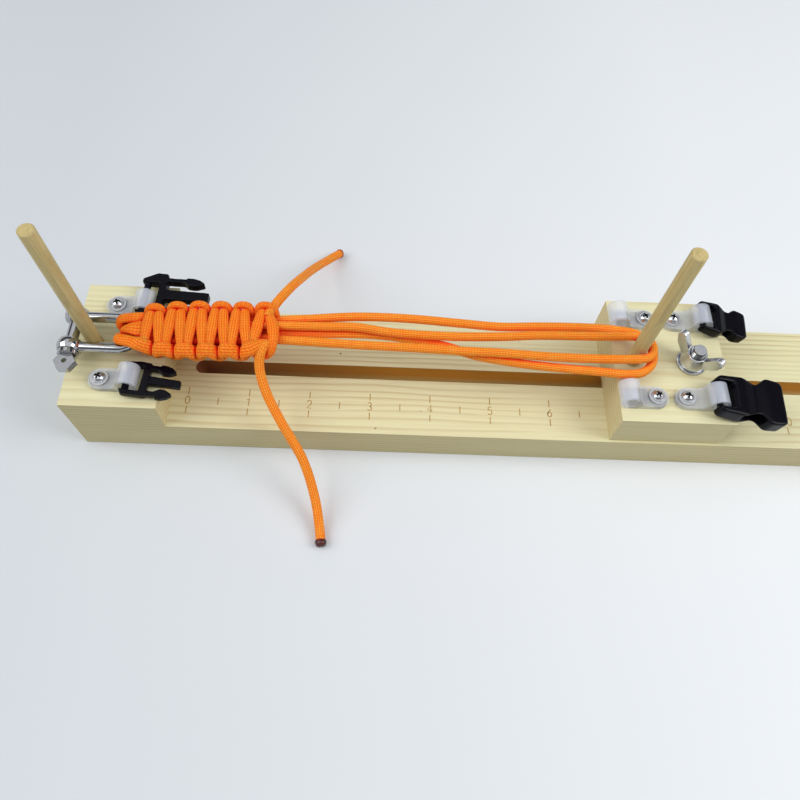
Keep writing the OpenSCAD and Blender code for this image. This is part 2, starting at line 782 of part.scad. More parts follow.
// The knotted part: a flat bar whose edges swell at each knot, the two edges half a knot apart
module weave_body() {
    sides = 16;
    steps = 8;
    n = ceil((weave_x1 - weave_x0) / knot_pitch * steps);
    rings = [
        for (i = [0 : n])
            let (
                x = weave_x0 + (weave_x1 - weave_x0) * i / n,
                phase = 360 * (x - knot_x0) / knot_pitch,
                grow = weave_w + weave_grow * (x - weave_x0) / (weave_x1 - weave_x0),
                far = grow + lobe_out * (1 + cos(phase)) / 2,
                near = grow + lobe_out * (1 - cos(phase)) / 2
            )
            for (j = [0 : sides - 1])
                let (
                    a = 360 * j / sides,
                    c = sign(cos(a)) * pow(abs(cos(a)), 0.6),
                    s = sign(sin(a)) * pow(abs(sin(a)), 0.7)
                )
                [x, weave_y + c * (c > 0 ? far : near), weave_z + s * weave_t]
    ];
    skin = [
        for (i = [0 : n - 1], j = [0 : sides - 1])
            let (a = i * sides + j, b = i * sides + (j + 1) % sides)
            each [[a, a + sides, b], [b, a + sides, b + sides]]
    ];
    last = n * sides;
    caps = [
        for (j = [1 : sides - 2])
            each [[0, j, j + 1], [last, last + j + 1, last + j]]
    ];
    polyhedron(rings, concat(skin, caps));
}

// One bight of cord round the shackle's bow, drawn into the knotted part at both ends
module bight(side) {
    out = [cos(bight_turn), side * sin(bight_turn), 0];
    middle = [bight_x, side * bight_y, pin_z];
    inside = [weave_x0 + bight_end[0], side * bight_end[1], weave_z];
    turn = [
        for (i = [0 : 6])
            let (a = 80 + 200 * i / 6)
            middle + bight_r * (out * cos(a) + [0, 0, sin(a)])
    ];
    path = concat(
        [inside + [0, 0, 2]],
        turn,
        [middle + bight_r * out - [0, 0, 3], inside - [0, 0, 3]]
    );
    tube(path, cord_d, 8, [-out.y, out.x, 0]);
}

module bracelet_weave() {
    color(orange) {
        weave_body();
        for (side = [-1, 1]) bight(side);
    }
}

// Two strands from the knotted part and the loop that they make round the slider peg
module inner_core_strands() {
    color(orange)
    tube(
        concat(
            placed(back_inner_run),
            round_peg(inner_turn_x, inner_turn_r, inner_turn_z),
            backwards(placed(front_inner_run))
        ),
        cord_d, 8
    );
}

module outer_core_strands() {
    color(orange)
    tube(
        concat(
            placed(back_outer_run),
            round_peg(outer_turn_x, outer_turn_r, outer_turn_z),
            backwards(placed(front_outer_run))
        ),
        cord_d, 8
    );
}

module front_tail() { color(orange) tube(placed(front_tail_run), slack_d, 8); }

module back_tail() { color(orange) tube(placed(back_tail_run), slack_d, 8); }

base_rail();
slider_block();
fixed_peg();
slider_peg();
fixed_back_clip();
fixed_front_clip();
slider_back_left_clip();
slider_back_right_clip();
slider_front_left_clip();
slider_front_right_clip();
fixed_clip_screws();
slider_clip_screws();
fixed_screw_washers();
slider_screw_washers();
carriage_bolt();
bolt_washer();
wing_nut();
back_male_buckle();
front_male_buckle();
front_female_buckle();
back_female_buckle();
shackle_bow();
shackle_pin();
bracelet_weave();
inner_core_strands();
outer_core_strands();
front_tail();
back_tail();
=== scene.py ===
import math
import random

import bpy
import numpy as np
from mathutils import Matrix, Vector


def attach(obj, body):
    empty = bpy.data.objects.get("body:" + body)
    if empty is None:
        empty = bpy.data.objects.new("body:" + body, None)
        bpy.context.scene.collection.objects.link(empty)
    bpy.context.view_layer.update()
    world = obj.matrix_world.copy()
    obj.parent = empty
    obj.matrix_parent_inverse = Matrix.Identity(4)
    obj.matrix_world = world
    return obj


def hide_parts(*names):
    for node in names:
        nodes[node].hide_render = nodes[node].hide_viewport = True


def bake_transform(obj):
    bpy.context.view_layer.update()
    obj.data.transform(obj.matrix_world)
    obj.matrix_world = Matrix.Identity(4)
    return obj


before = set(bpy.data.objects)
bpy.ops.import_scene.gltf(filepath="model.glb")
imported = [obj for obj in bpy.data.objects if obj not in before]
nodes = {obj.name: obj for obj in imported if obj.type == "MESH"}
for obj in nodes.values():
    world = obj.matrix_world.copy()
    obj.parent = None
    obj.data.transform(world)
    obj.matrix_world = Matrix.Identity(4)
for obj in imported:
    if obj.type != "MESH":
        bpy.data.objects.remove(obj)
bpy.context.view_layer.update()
mm = 0.001
print("frame loaded:", len(nodes), "CAD nodes")


# Shader helpers

def startMaterial(name):
    mat = bpy.data.materials.new(name)
    mat.use_nodes = True
    tree = mat.node_tree
    tree.nodes.clear()
    out = tree.nodes.new("ShaderNodeOutputMaterial")
    shader = tree.nodes.new("ShaderNodeBsdfPrincipled")
    tree.links.new(shader.outputs["BSDF"], out.inputs["Surface"])
    return mat, tree, shader


def plug(tree, socket, value):
    if isinstance(value, bpy.types.NodeSocket):
        tree.links.new(value, socket)
    else:
        socket.default_value = value


def calc(tree, operation, *values):
    node = tree.nodes.new("ShaderNodeMath")
    node.operation = operation
    for socket, value in zip(node.inputs, values):
        plug(tree, socket, value)
    return node.outputs[0]


def noiseAt(tree, vector, scale, detail=2.0, roughness=0.5):
    node = tree.nodes.new("ShaderNodeTexNoise")
    plug(tree, node.inputs["Vector"], vector)
    node.inputs["Scale"].default_value = scale
    node.inputs["Detail"].default_value = detail
    node.inputs["Roughness"].default_value = roughness
    return node.outputs[0]


def setSockets(shader, values):
    for name, value in values.items():
        shader.inputs[name].default_value = value


def scaled(tree, vector, factors, shift=(0, 0, 0)):
    node = tree.nodes.new("ShaderNodeMapping")
    plug(tree, node.inputs["Vector"], vector)
    node.inputs["Scale"].default_value = factors
    node.inputs["Location"].default_value = shift
    return node.outputs[0]


def stretchedNoise(tree, place, s, shift=(0, 0, 0)):
    return noiseAt(tree, scaled(tree, place, s["stretch"], shift), 1.0, s["detail"], s.get("rough", 0.5))


def objectPlace(tree):  # place on the part in millimetres
    node = tree.nodes.new("ShaderNodeTexCoord")
    return scaled(tree, node.outputs["Object"], (1000, 1000, 1000))


def parts(tree, vector):
    node = tree.nodes.new("ShaderNodeSeparateXYZ")
    plug(tree, node.inputs[0], vector)
    return node.outputs[0], node.outputs[1], node.outputs[2]


def blendColour(tree, share, first, second):
    node = tree.nodes.new("ShaderNodeMix")
    node.data_type = "RGBA"
    for index, value in ((0, share), (6, first), (7, second)):
        if index and isinstance(value, tuple):
            value = (*value, 1.0)
        plug(tree, node.inputs[index], value)
    return node.outputs[2]


def ramp(tree, value, stops):
    node = tree.nodes.new("ShaderNodeValToRGB")
    plug(tree, node.inputs[0], value)
    points = node.color_ramp.elements
    while len(points) < len(stops):
        points.new(0.5)
    for point, (place, colour) in zip(points, stops):
        point.position = place
        point.color = (*colour, 1.0)
    return node.outputs[0]


def spread(tree, value, low, high):  # 0..1 between two levels
    node = tree.nodes.new("ShaderNodeMapRange")
    plug(tree, node.inputs[0], value)
    node.inputs[1].default_value = low
    node.inputs[2].default_value = high
    return node.outputs[0]


def shelterAt(tree, s):  # 0 in a nook, 1 in the open: ambient occlusion, used to paint shade into nooks
    node = tree.nodes.new("ShaderNodeAmbientOcclusion")
    node.samples = s["samples"]
    node.inputs["Distance"].default_value = s["reach"]
    return spread(tree, node.outputs["AO"], *s["range"])


def bumpFrom(tree, shader, height, strength, distance):
    node = tree.nodes.new("ShaderNodeBump")
    node.inputs["Strength"].default_value = strength
    node.inputs["Distance"].default_value = distance
    plug(tree, node.inputs["Height"], height)
    plug(tree, shader.inputs["Normal"], node.outputs[0])


def seenRays(tree):  # 1 for what the camera, metal or clear plastic shows of the backdrop
    path = tree.nodes.new("ShaderNodeLightPath")
    rays = [path.outputs[n] for n in ("Is Camera Ray", "Is Glossy Ray", "Is Transmission Ray")]
    return calc(tree, "MAXIMUM", calc(tree, "MAXIMUM", rays[0], rays[1]), rays[2])


# Camera that matches the photo

cameraSet = {
    "place": (0.11751, -0.15339, 0.28223),
    "right": (0.99903, 0.02071, 0.03896),
    "up": (-0.03657, 0.88263, 0.46865),
    "back": (-0.02469, -0.46962, 0.88253),
    "lens": 31.777,
    "sensor": 36,
}


def makeCamera(s):
    data = bpy.data.cameras.new("photoCamera")
    data.sensor_width = s["sensor"]
    data.lens = s["lens"]
    cam = bpy.data.objects.new("photoCamera", data)
    bpy.context.scene.collection.objects.link(cam)
    turn = Matrix((s["right"], s["up"], s["back"])).transposed().to_4x4()
    cam.matrix_world = Matrix.Translation(s["place"]) @ turn
    bpy.context.scene.camera = cam


makeCamera(cameraSet)
bpy.context.scene.view_settings.view_transform = "Standard"
print("camera set")


# Braided cord

cordSet = {
    "taut": 3.6,  # diameter of the stretched strands
    "slack": 3.9,  # diameter of the loose tails
    "tied": {"colour": (1.0, 0.31, 0.016), "paler": (1.0, 0.38, 0.032)},
    "loose": {"colour": (1.0, 0.42, 0.033), "paler": (1.0, 0.50, 0.055)},  # strands and tails: a paler copy of the cord, painted light for the brighter light they get
    "patches": {"scale": 0.35, "detail": 3.0, "range": (0.3, 0.7)},
    # painted shade in the grooves between stitches
    "paintedGrooveShade": (0.90, 0.07, 0.004),
    "deep": (1.0, 0.02, 0.012),  # painted red shade in the nooks where strands press together
    "nook": {"samples": 6, "reach": 0.004, "range": (0.2, 0.75)},
    "columns": 14,  # stitches round the sheath
    "stitch": 10.0,  # stitches in a length equal to the cord's girth
    "lean": 0.6,
    "rounding": 0.5,
    "fill": 0.75,
    "finish": {
        "Roughness": 0.62,
        "Specular IOR Level": 0.15,
        "Sheen Weight": 0.08,
        "Sheen Roughness": 0.4,
        "Sheen Tint": (1.0, 0.35, 0.08, 1.0),
        "Subsurface Weight": 0.5,  # light glows red through the nylon
        "Subsurface Radius": (1.0, 0.15, 0.03),
        "Subsurface Scale": 0.0025,
    },
    "bump": (0.6, 0.0002),
    "sides": 14,
    "step": 1.2,
}


def cordMaterial(s, way):
    mat, tree, shader = startMaterial(way + "Cord")
    uv = tree.nodes.new("ShaderNodeUVMap")
    uv.uv_map = "cordMap"
    around, along, _ = parts(tree, uv.outputs[0])
    column = calc(tree, "MULTIPLY", around, float(s["columns"]))
    inColumn = calc(tree, "FRACT", column)
    odd = calc(tree, "MODULO", calc(tree, "FLOOR", column), 2.0)
    tilt = calc(tree, "MULTIPLY_ADD", odd, 2.0, -1.0)
    slant = calc(tree, "MULTIPLY", calc(tree, "MULTIPLY", tilt, inColumn), s["lean"])
    shift = calc(tree, "MULTIPLY_ADD", odd, 0.5, slant)
    inRow = calc(tree, "FRACT", calc(tree, "MULTIPLY_ADD", along, s["stitch"], shift))
    wide = calc(tree, "SINE", calc(tree, "MULTIPLY", inColumn, math.pi))
    hump = calc(tree, "SINE", calc(tree, "MULTIPLY", inRow, math.pi))
    stitch = calc(tree, "MULTIPLY", wide, calc(tree, "POWER", hump, s["rounding"]))
    patchy = noiseAt(tree, objectPlace(tree), s["patches"]["scale"], s["patches"]["detail"])
    patches = spread(tree, patchy, *s["patches"]["range"])
    face = blendColour(tree, patches, s[way]["colour"], s[way]["paler"])
    # the grooves between stitches get painted shade; the bump shapes them as well
    braid = blendColour(tree, calc(tree, "POWER", stitch, s["fill"]), s["paintedGrooveShade"], face)
    # painted red shade in the nooks between strands
    colour = blendColour(tree, shelterAt(tree, s["nook"]), s["deep"], braid)
    plug(tree, shader.inputs["Base Color"], colour)
    setSockets(shader, s["finish"])
    bumpFrom(tree, shader, stitch, *s["bump"])
    return mat


tiedFinish = cordMaterial(cordSet, "tied")
# the paler copy paints on the brighter light that strands and tails get
looseFinish = cordMaterial(cordSet, "loose")


def smoothRun(points, step, fineSteps=24):
    # even steps on a smooth curve through the points; columns after the third are carried along
    p = np.array(points, float)
    padded = np.vstack([2 * p[0] - p[1], p, 2 * p[-1] - p[-2]])
    fine = []
    for i in range(1, len(padded) - 2):
        a, b, c, d = padded[i - 1:i + 3]
        t0, t1, t2 = (np.linalg.norm(v[:3]) ** 0.5 + 1e-9 for v in (b - a, c - b, d - c))
        m1 = (c - b) + t1 * ((b - a) / t0 - (c - a) / (t0 + t1))
        m2 = (c - b) + t1 * ((d - c) / t2 - (d - b) / (t1 + t2))
        for t in np.linspace(0, 1, fineSteps, endpoint=False):
            ends = (2 * t**3 - 3 * t**2 + 1) * b + (3 * t**2 - 2 * t**3) * c
            slopes = (t**3 - 2 * t**2 + t) * m1 + (t**3 - t**2) * m2
            fine.append(ends + slopes)
    fine.append(p[-1])
    fine = np.array(fine)
    reach = np.concatenate([[0], np.cumsum(np.linalg.norm(np.diff(fine[:, :3], axis=0), axis=1))])
    stops = np.linspace(0, reach[-1], max(int(reach[-1] / step), 2) + 1)
    return np.stack([np.interp(stops, reach, column) for column in fine.T], axis=1)


def sweep(path, wide, thin, outward=None, sides=14):
    # rings of an oval tube in millimetres; outward gives the thin way at each point
    tangent = np.gradient(path, axis=0)
    tangent /= np.linalg.norm(tangent, axis=1)[:, None]
    if outward is None:
        outward = np.zeros_like(path)
        up = np.array([0.0, 0.0, 1.0])
        for i, t in enumerate(tangent):
            up = up - (up @ t) * t
            up /= np.linalg.norm(up)
            outward[i] = up
    n = outward - (outward * tangent).sum(1)[:, None] * tangent
    n /= np.linalg.norm(n, axis=1)[:, None]
    b = np.cross(tangent, n)
    angle = np.linspace(0, 2 * math.pi, sides, endpoint=False)
    wide = np.broadcast_to(wide, len(path))[:, None, None]
    thin = np.broadcast_to(thin, len(path))[:, None, None]
    across = wide * np.cos(angle)[None, :, None] * b[:, None]
    outwards = thin * np.sin(angle)[None, :, None] * n[:, None]
    return path[:, None] + across + outwards


def tubeObject(name, runs, finish):
    # one mesh from several rows of rings, closed at both ends, with the sheath's map
    verts, faces, maps = [], [], []
    for rings, girth in runs:
        count, sides = rings.shape[:2]
        base = len(verts)
        verts.extend((rings.reshape(-1, 3) * mm).tolist())
        steps = np.linalg.norm(np.diff(rings.mean(1), axis=0), axis=1)
        reach = np.concatenate([[0], np.cumsum(steps)]) / girth
        for i in range(count - 1):
            here, there = base + i * sides, base + (i + 1) * sides
            for j in range(sides):
                k = (j + 1) % sides
                left, right = j / sides, (j + 1) / sides
                start, stop = reach[i], reach[i + 1]
                faces.append([here + j, here + k, there + k, there + j])
                maps.append([(left, start), (right, start), (right, stop), (left, stop)])
        for i, order in ((0, -1), (count - 1, 1)):
            faces.append([base + i * sides + j for j in range(sides)][::order])
            maps.append([(0.5, reach[i])] * sides)
    mesh = bpy.data.meshes.new(name)
    mesh.from_pydata(verts, [], faces)
    layer = mesh.uv_layers.new(name="cordMap")
    layer.data.foreach_set("uv", np.array([c for f in maps for c in f], np.float32).ravel())
    mesh.polygons.foreach_set("use_smooth", [True] * len(mesh.polygons))
    mesh.materials.append(finish)
    mesh.update()
    obj = bpy.data.objects.new(name, mesh)
    bpy.context.scene.collection.objects.link(obj)
    return obj


def layCord(name, points, diameter, finish):
    path = smoothRun(points, cordSet["step"])
    rings = sweep(path, diameter / 2, diameter / 2, None, cordSet["sides"])
    return tubeObject(name, [(rings, math.pi * diameter)], finish), path


# Routes of the cord from the right end of the knotted part, as in the CAD source

weaveEnd = np.array([73.05, 0.0, 44.5])

strandSet = {
    "innerStrands": {
        "node": "inner_core_strands",
        "loop": {"x": 220.0, "r": 5.2, "z": 46.0},
        "back": [
            (-4, 3.4, 2), (18, 4, 1.7), (33, 4.6, 1.3), (48, 3.1, 0.7),
            (70, 2.7, 0.3), (91, 3.5, 0.3), (107, 4.7, 0.5), (128, 5, 0.9),
        ],
        "front": [
            (-4, -1.8, 0.3), (19, -2.4, 0.1), (34, -2.9, 0.1), (54, -3.3, 0.2),
            (72, -3.9, 0.3), (91, -4.3, 0.4), (110, -5.2, 0.5), (128, -5.6, 0.9),
        ],
    },
    "outerStrands": {
        "node": "outer_core_strands",
        "loop": {"x": 216.4, "r": 10.2, "z": 42.2},
        "back": [
            (-4, 7.6, -1.2), (12, 9, -0.8), (33, 10.6, 0), (53, 10.7, 0), (74, 9.6, -0.2),
            (91, 8.7, -0.4), (107, 9.8, -0.8), (123, 10.6, -1.3), (134, 10.8, -1.9),
        ],
        "front": [
            (-4, 2.7, -1.9), (18, 3.1, -2), (33, 4, -2.6), (46, 4.1, -3.5), (59, 2.3, -3.7),
            (69, 0.6, -3.8), (81, -3.4, -3.7), (96, -6.1, -3.4), (111, -7.9, -3), (127, -9.2, -2.6),
        ],
    },
}
tailSet = {
    "frontTail": {
        "node": "front_tail",
        "run": [
            (-1, -5, 2), (-2.2, -6.6, 2.8), (-3.6, -9, 1.6), (-4.3, -12.8, -2.6), (-2, -20, -8.5),
            (4, -29.6, -15.5), (13.3, -42, -26), (18.6, -55, -36.5), (20.9, -66, -41.5),
            (21.7, -71.4, -42.4),
        ],
    },
    "backTail": {
        "node": "back_tail",
        "run": [
            (-2.5, 6, 3.4), (-2, 9, 2.8), (-1.2, 12.2, 1.4), (0.7, 17, 0.4), (4.6, 27, -3.5),
            (7.8, 39, -12), (10.2, 51, -22), (13.8, 65, -34), (20.5, 78, -42.4),
        ],
    },
}
cords = {}


def roundPeg(s):  # half a turn round the slider peg, from the back to the front
    turns = [math.radians(a) for a in range(90, -91, -30)]
    return [(s["x"] + s["r"] * math.cos(a), s["r"] * math.sin(a), s["z"]) for a in turns]


for name, s in strandSet.items():
    back = [weaveEnd + p for p in s["back"]]
    front = [weaveEnd + p for p in s["front"]]
    strands, path = layCord(name, back + roundPeg(s["loop"]) + front[::-1], cordSet["taut"], looseFinish)
    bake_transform(strands)
    cords[name] = {"obj": strands, "path": path, "node": s["node"], "diameter": cordSet["taut"]}

for name, s in tailSet.items():
    tail, path = layCord(name, [weaveEnd + p for p in s["run"]], cordSet["slack"], looseFinish)
    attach(tail, "base")
    cords[name] = {"obj": tail, "path": path, "node": s["node"], "diameter": cordSet["slack"]}

for cord in cords.values():
    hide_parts(cord["node"])
print("core strands and tails laid")


# Knotted part: two strands tied over the core, arches at the back and bars at the front

weaveSet = {
    "z": 44.5,
    "first": 25.6,  # middle of the first arch
    "archPitch": 8.66,
    "legPitch": 8.4,  # the legs and bars lag a little behind the arches
    "arches": (10.4, 11.8, 12.5, 12.8, 13.0, 13.3),  # outer edge at each arch
    "bars": (-10.6, -11.8, -11.9, -11.6, -11.2, -10.2),  # outer edge at each bar
    "thin": 1.5,
    "legs": {"axis": 1, "at": (-9.0, -6.0, 0.0, 6.0, 9.0), "wide": (1.6, 1.8, 2.35, 2.05, 1.9)},
    "barWide": {"axis": 1, "at": (-8.0, -5.0), "wide": (2.85, 2.08)},
    "fan": {"axis": 0, "at": (14.6, 17.0, 20.0, 23.0), "wide": (1.5, 2.4, 3.3, 3.8)},
    "core": (-5.0, 5.8),  # sides of the flat core
    "coreZ": {"at": (-6.0, 0.0), "z": (42.5, 44.5)},
    "step": 0.5,
}
bowSet = {"x": 17.4, "z": 42.2, "right": 21.0}

# along from the knot's middle, side, inset from that side's edge, height, lean of the flat side in x
leftLeg = [
    (-1.2, "far", 2.2, -1.0, 0), (-1.1, "far", 4.3, 2.9, 0), (-1.05, "middle", 0.0, 3.9, 0),
    (-1.2, "near", 4.6, 2.9, 0), (-1.2, "near", 2.6, 0.2, 0),
]
barBelow = [(-0.3, "near", 2.4, -2.4, 0), (1.6, "near", 2.5, -3.2, 0), (3.5, "near", 2.4, -2.4, 0)]
rightLeg = [
    (4.4, "near", 2.6, 0.2, 0), (4.4, "near", 4.6, 2.9, 0), (3.4, "middle", 0.0, 3.9, 0),
    (2.2, "far", 4.3, 2.9, 0), (2.1, "far", 2.2, -1.0, 0),
]
lastLeft = [
    (0.5, "far", 2.2, -1.0, 0), (0.5, "far", 4.3, 2.9, 0), (-0.6, "middle", 0.0, 3.9, 0),
    (-1.4, "near", 4.6, 2.9, 0), (-1.4, "near", 2.6, 0.2, 0),
]
archBelow = [(3.0, "far", 1.9, -3.0, 0), (4.7, "far", 1.9, -3.6, 0), (6.3, "far", 1.9, -3.0, 0)]
arch = [
    (-2.8, "far", 3.7, -1.5, -0.8), (-2.9, "far", 2.8, 1.2, -0.8), (-1.9, "far", 1.8, 3.2, -0.4),
    (0.3, "far", 1.5, 3.9, 0), (2.5, "far", 1.8, 3.2, 0.4), (3.4, "far", 2.8, 1.0, 0.8),
    (3.3, "far", 3.7, -1.5, 0.8),
]
lastArch = arch[:4] + [
    (2.8, "far", 1.8, 3.2, 0.4), (4.3, "far", 2.9, 1.0, 0.8), (4.3, "far", 3.8, -1.5, 0.8),
]
frontBar = [
    (3.6, "far", 6.0, -3.3, 0), (3.9, "middle", 0.0, -3.7, 0), (3.6, "near", 5.0, -3.0, -0.3),
    (3.3, "near", 3.0, -0.6, -0.9), (3.3, "near", 2.2, 1.2, -1), (4.2, "near", 1.9, 2.6, -0.5),
    (6.0, "near", 1.8, 2.9, 0), (7.8, "near", 1.9, 2.6, 0.5), (8.7, "near", 2.2, 1.2, 1),
    (8.7, "near", 3.0, -0.6, 0.9), (8.4, "near", 5.0, -3.0, 0.3), (7.6, "middle", 0.0, -3.7, 0),
    (6.4, "far", 6.0, -3.3, 0),
]
# runs that are tied only once, in millimetres on the part, with the same lean
frontBight = [
    (26.5, -4, 41, 0), (22, -3.5, 38.5, 0), (17.5, -2.6, 37.9, 0), (15, -2.4, 39.2, 0),
    (13.2, -2.7, 42.3, 0), (12.9, -4, 44.8, 0), (13.6, -5.4, 46.4, 0), (16.5, -6.4, 47.2, 0),
    (20, -7.3, 47.4, 0), (23.5, -8.2, 47.2, 0), (25.4, -8.5, 46.4, 0.5), (26.2, -8.3, 44.8, 1),
    (26, -7, 42.6, 0.8), (25, -4, 41, 0), (24, 2, 40.8, 0),
]
backBight = [
    (26.5, 4, 41, 0), (22, 3.5, 38.5, 0), (17.5, 2.6, 37.9, 0), (15, 2.4, 39.2, 0),
    (12.9, 2.6, 42.3, 0), (12.2, 2.9, 44.6, 0), (13, 3.6, 46.4, 0), (16.5, 4.1, 47.1, 0),
    (20, 4.5, 47, 0), (22.4, 5.8, 45.5, 0), (23.3, 7.6, 43, 0),
]
middleBight = [
    (24, -0.4, 40, 0), (17, -0.6, 38, 0), (14.8, -0.7, 39.5, 0), (14.2, -0.7, 42.3, 0),
    (14.6, -0.6, 45, 0), (17, -0.7, 46.6, 0), (20, -0.8, 47, 0), (23, -0.6, 46.6, 0),
    (27, -0.4, 45.2, 0),
]
lastBar = [
    (62.4, 6, 41.2, 0), (62.6, 0, 40.8, 0), (62.4, -6, 41.4, -0.3), (62.4, -8.4, 44, -0.9),
    (62.6, -8.8, 45.8, -1), (63.6, -8.9, 47, -0.5), (65.3, -8.5, 47.4, 0), (68, -7.2, 47.5, 0),
    (70.3, -6.1, 47.2, 0.3), (71.5, -5.4, 45.6, 0.8), (71.4, -4, 42.5, 0.5), (69.5, 0, 40.8, 0),
    (67, 6.5, 41.2, 0),
]
lastLeg = [
    (71.6, -8.2, 43, 0), (73.4, -7.7, 46, 0), (74, -4, 48.3, 0), (73.2, 1.8, 48.5, 0),
    (71.2, 7.4, 47.6, 0), (70.8, 9.6, 46, 0), (70.8, 10.4, 43.5, 0),
]
lastFoot = [(73, 6.5, 41.4, 0), (72.6, 1, 41, 0), (72.4, -3, 43, 0)]
coreStrands = [
    [(20.5, 5.2, 43.8), (46, 6.2, 44), (69, 7.6, 43.3)],
    [(20.5, 1.8, 43.8), (46, 2.4, 45), (69, 3.4, 46.5)],
    [(20.5, -1.7, 43.8), (46, -0.4, 44), (69, 2.7, 42.6)],
    [(20.5, -5.0, 43.8), (46, -3.4, 44.5), (69, -1.8, 44.8)],
]


def tied(knot, bar, table, farPitch):
    s = weaveSet
    far, near = s["arches"][knot], s["bars"][bar]
    points = []
    for along, side, inset, rise, lean in table:
        pitch = farPitch if side == "far" else s["legPitch"]
        y = {"far": far - inset, "near": near + inset, "middle": inset}[side]
        points.append((s["first"] + knot * pitch + along, y, s["z"] + rise, lean))
    return points


def withOutward(points):
    # adds the way that the flat side faces: off the flat core, off the shackle's bow, or along the rail
    s = weaveSet
    rows = []
    for x, y, z, lean in points:
        middle = min(max(y, s["core"][0]), s["core"][1])
        foot = (x, middle, float(np.interp(y, s["coreZ"]["at"], s["coreZ"]["z"])))
        if x < bowSet["right"]:
            foot = (bowSet["x"], y, bowSet["z"])
        out = Vector((x, y, z)) - Vector(foot)
        out = out.normalized() * (1 - abs(lean)) + Vector((lean, 0, 0))
        rows.append((x, y, z, *out.normalized()))
    return rows


def makeWeave(s):
    over, under = list(backBight), list(frontBight)
    last = len(s["arches"]) - 1
    for knot in range(last):
        over += tied(knot, knot, leftLeg, s["legPitch"]) + tied(knot, knot, barBelow, s["legPitch"])
        over += tied(knot, knot + 1, rightLeg + archBelow, s["legPitch"])
        under += tied(knot, knot, arch, s["archPitch"])
        under += tied(knot, knot + 1, frontBar, s["archPitch"]) if knot < last - 1 else lastBar
    over += tied(last, last, lastLeft + barBelow[:2], s["legPitch"]) + lastLeg
    under += tied(last, last, lastArch, s["archPitch"]) + lastFoot
    girth = math.pi * cordSet["slack"]
    runs = []
    for points, profile in ((over, s["legs"]), (under, s["barWide"]), (middleBight, s["fan"])):
        rows = smoothRun(withOutward(points), s["step"])
        path, outward = rows[:, :3], rows[:, 3:]
        wide = np.interp(path[:, profile["axis"]], profile["at"], profile["wide"])
        runs.append((sweep(path, wide, s["thin"], outward, cordSet["sides"]), girth))
    for points in coreStrands:
        path = smoothRun(points, cordSet["step"])
        runs.append((sweep(path, cordSet["taut"] / 2, cordSet["taut"] / 2), girth))
    return tubeObject("knottedWeave", runs, tiedFinish)


weave = makeWeave(weaveSet)
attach(weave, "base")
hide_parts("bracelet_weave")
print("weave knotted")


# Melted ends of the tails

tipSet = {
    "frontTail": {
        "reach": (-1.9, -1.5, -0.6, 0.2, 0.8, 1.2),  # along the cord, from its end
        "half": (1.85, 2.2, 2.4, 2.25, 1.7, 0.9),
        "burnt": (0.012, 0.003, 0.003),
        "melted": (0.16, 0.012, 0.008),
    },
    "backTail": {
        "reach": (-1.2, -0.8, -0.2, 0.3, 0.7),
        "half": (1.85, 2.1, 2.15, 1.8, 1.2),
        "burnt": (0.16, 0.03, 0.01),
        "melted": (0.60, 0.10, 0.015),
    },
    "lumps": 0.16,
    "floor": 0.1,
    "sides": 16,
    "lastSteps": 5,  # of the cord's path, which give the tip's direction
    "noise": {"scale": 1.3, "detail": 4.0, "range": (0.35, 0.7)},
    "rough": 0.3,
    "bump": (0.5, 0.0003),
}


def meltedMaterial(name, burnt, melted):
    s = tipSet
    mat, tree, shader = startMaterial(name)
    lumps = noiseAt(tree, objectPlace(tree), s["noise"]["scale"], s["noise"]["detail"])
    colour = ramp(tree, lumps, list(zip(s["noise"]["range"], (burnt, melted))))
    plug(tree, shader.inputs["Base Color"], colour)
    shader.inputs["Roughness"].default_value = s["rough"]
    bumpFrom(tree, shader, lumps, *s["bump"])
    return mat


def meltedTip(tail, path, lumps, floor):
    s = tipSet[tail]
    name = tail + "Tip"
    rng = random.Random(name)
    tip = path[-1]
    way = tip - path[-1 - tipSet["lastSteps"]]
    way = way / np.linalg.norm(way)
    line = np.array([tip + way * d for d in s["reach"]])
    rings = sweep(line, np.array(s["half"]), np.array(s["half"]), None, tipSet["sides"])
    for point in rings.reshape(-1, 3):
        point += np.array([rng.uniform(-lumps, lumps) for _ in range(3)])
    rings[:, :, 2] = np.maximum(rings[:, :, 2], floor)
    finish = meltedMaterial(name, s["burnt"], s["melted"])
    return tubeObject(name, [(rings, math.pi * cordSet["slack"])], finish)


tips = {}
for name in tailSet:
    tips[name] = meltedTip(name, cords[name]["path"], tipSet["lumps"], tipSet["floor"])
    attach(tips[name], "base")

for name, cord in cords.items():
    isTail = name in tailSet
    pieces = [tips[name]] if isTail else []
    if name == "frontTail":
        pieces.append(weave)


# Wood

